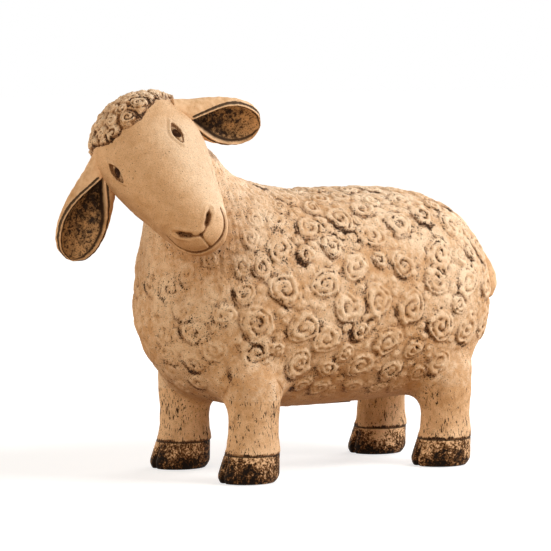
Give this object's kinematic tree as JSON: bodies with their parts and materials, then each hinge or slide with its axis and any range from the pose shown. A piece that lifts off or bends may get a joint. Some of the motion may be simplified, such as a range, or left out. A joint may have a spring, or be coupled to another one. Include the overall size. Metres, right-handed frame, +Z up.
{
  "type": "sheep figurine",
  "caption": "Free-standing sheep ornament: curl-covered barrel body, smooth head turned and tilted to its left, cupped ears, short legs and dark cloven hooves.",
  "frame": {"origin": "on the floor, under the middle of the ornament's bounding box", "axes": "+Z up; the sheep faces -Y; +X is the sheep's left side"},
  "size_m": [0.1684, 0.3804, 0.2851],
  "materials": {
    "wool_coat": "matte antique cream paint, dark in the grooves",
    "smooth_skin": "matte antique cream paint with dark specks",
    "ear_skin": "matte tan paint, dark brown inside the cup",
    "hoof_paint": "matte dark brown paint, dry-brushed with tan",
    "eye_gloss": "gloss",
    "steel_rod": "plain drawn rod",
    "dowel_wood": "plain",
    "pad_felt": "felt"
  },
  "bodies": {
    "root": {"left_body_shell": "wool_coat", "right_body_shell": "wool_coat", "belly_plug": "wool_coat", "wool_cap": "wool_coat", "head_shell": "smooth_skin", "tail": "smooth_skin", "left_front_leg": "smooth_skin", "left_rear_leg": "smooth_skin", "right_front_leg": "smooth_skin", "right_rear_leg": "smooth_skin", "left_ear": "ear_skin", "right_ear": "ear_skin", "left_front_hoof": "hoof_paint", "left_rear_hoof": "hoof_paint", "right_front_hoof": "hoof_paint", "right_rear_hoof": "hoof_paint", "left_eye": "eye_gloss", "right_eye": "eye_gloss", "leg_rods": "steel_rod", "neck_dowel": "dowel_wood", "hoof_pads": "pad_felt"}
  },
  "joints": []
}
